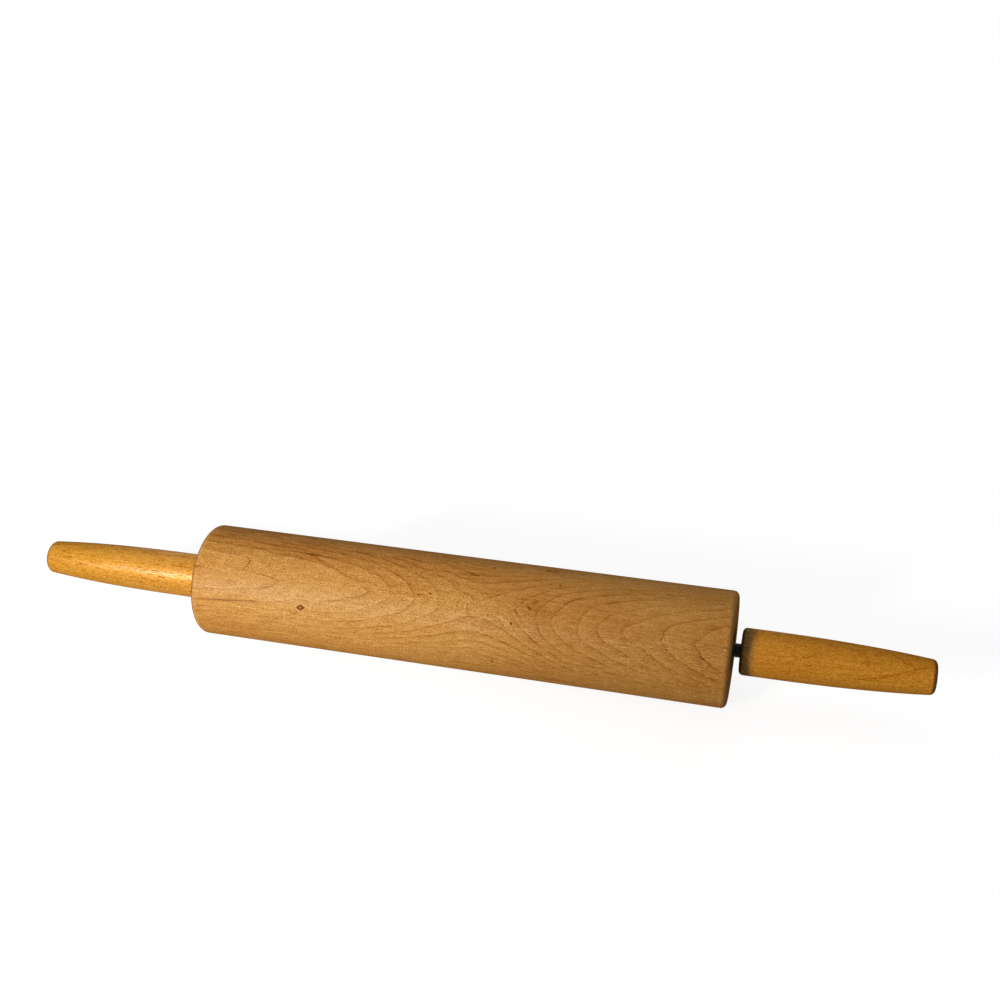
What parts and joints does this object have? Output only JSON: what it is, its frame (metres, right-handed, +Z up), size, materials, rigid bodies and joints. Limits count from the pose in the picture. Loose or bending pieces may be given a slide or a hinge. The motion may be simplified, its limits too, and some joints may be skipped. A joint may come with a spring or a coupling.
{
  "type": "rolling pin",
  "caption": "Rolling pin with a thick round wooden barrel that spins freely on ball bearings round a steel rod, between two fixed tapered wooden handles.",
  "frame": {"origin": "on the surface the pin lies on, under the middle of the barrel", "axes": "+X along the rod towards the right-hand handle, +Z up"},
  "size_m": [0.6456, 0.08, 0.08],
  "materials": {
    "barrel_maple": "oiled maple, worn dry",
    "handle_maple": "amber varnished maple",
    "plug_maple": "varnished maple",
    "rod_steel": "blackened steel",
    "cap_steel": "dull nickel plate",
    "ring_steel": "dark spring steel",
    "bearing_steel": "polished bearing steel",
    "cage_brass": "pressed brass",
    "fastener_steel": "bright zinc plate"
  },
  "bodies": {
    "axle": {"axle_rod": "rod_steel", "left_handle": "handle_maple", "left_handle_washer": "fastener_steel", "left_handle_nut": "fastener_steel", "left_handle_plug": "plug_maple", "left_retaining_ring": "ring_steel", "left_bearing_inner_ring": "bearing_steel", "right_handle": "handle_maple", "right_handle_washer": "fastener_steel", "right_handle_nut": "fastener_steel", "right_handle_plug": "plug_maple", "right_retaining_ring": "ring_steel", "right_bearing_inner_ring": "bearing_steel"},
    "barrel": {"barrel": "barrel_maple", "left_dust_cap": "cap_steel", "left_bearing_outer_ring": "bearing_steel", "left_outer_shield": "fastener_steel", "left_inner_shield": "fastener_steel", "right_dust_cap": "cap_steel", "right_bearing_outer_ring": "bearing_steel", "right_outer_shield": "fastener_steel", "right_inner_shield": "fastener_steel"},
    "left_balls": {"left_ball_cage": "cage_brass", "left_ball_1": "bearing_steel", "left_ball_2": "bearing_steel", "left_ball_3": "bearing_steel", "left_ball_4": "bearing_steel", "left_ball_5": "bearing_steel", "left_ball_6": "bearing_steel", "left_ball_7": "bearing_steel"},
    "right_balls": {"right_ball_cage": "cage_brass", "right_ball_1": "bearing_steel", "right_ball_2": "bearing_steel", "right_ball_3": "bearing_steel", "right_ball_4": "bearing_steel", "right_ball_5": "bearing_steel", "right_ball_6": "bearing_steel", "right_ball_7": "bearing_steel"}
  },
  "joints": [
    {"name": "barrel_spin", "type": "hinge", "parent": "axle", "child": "barrel", "pos_m": [0, 0, 0.04], "axis": [1, 0, 0], "continuous": true},
    {"name": "left_ball_orbit", "type": "hinge", "parent": "axle", "child": "left_balls", "pos_m": [-0.1823, 0, 0.04], "axis": [1, 0, 0], "continuous": true},
    {"name": "right_ball_orbit", "type": "hinge", "parent": "axle", "child": "right_balls", "pos_m": [0.1823, 0, 0.04], "axis": [1, 0, 0], "continuous": true}
  ],
  "couplings": [
    {"joint": "left_ball_orbit", "follows": "barrel_spin", "ratio": 0.6231},
    {"joint": "right_ball_orbit", "follows": "barrel_spin", "ratio": 0.6231}
  ]
}
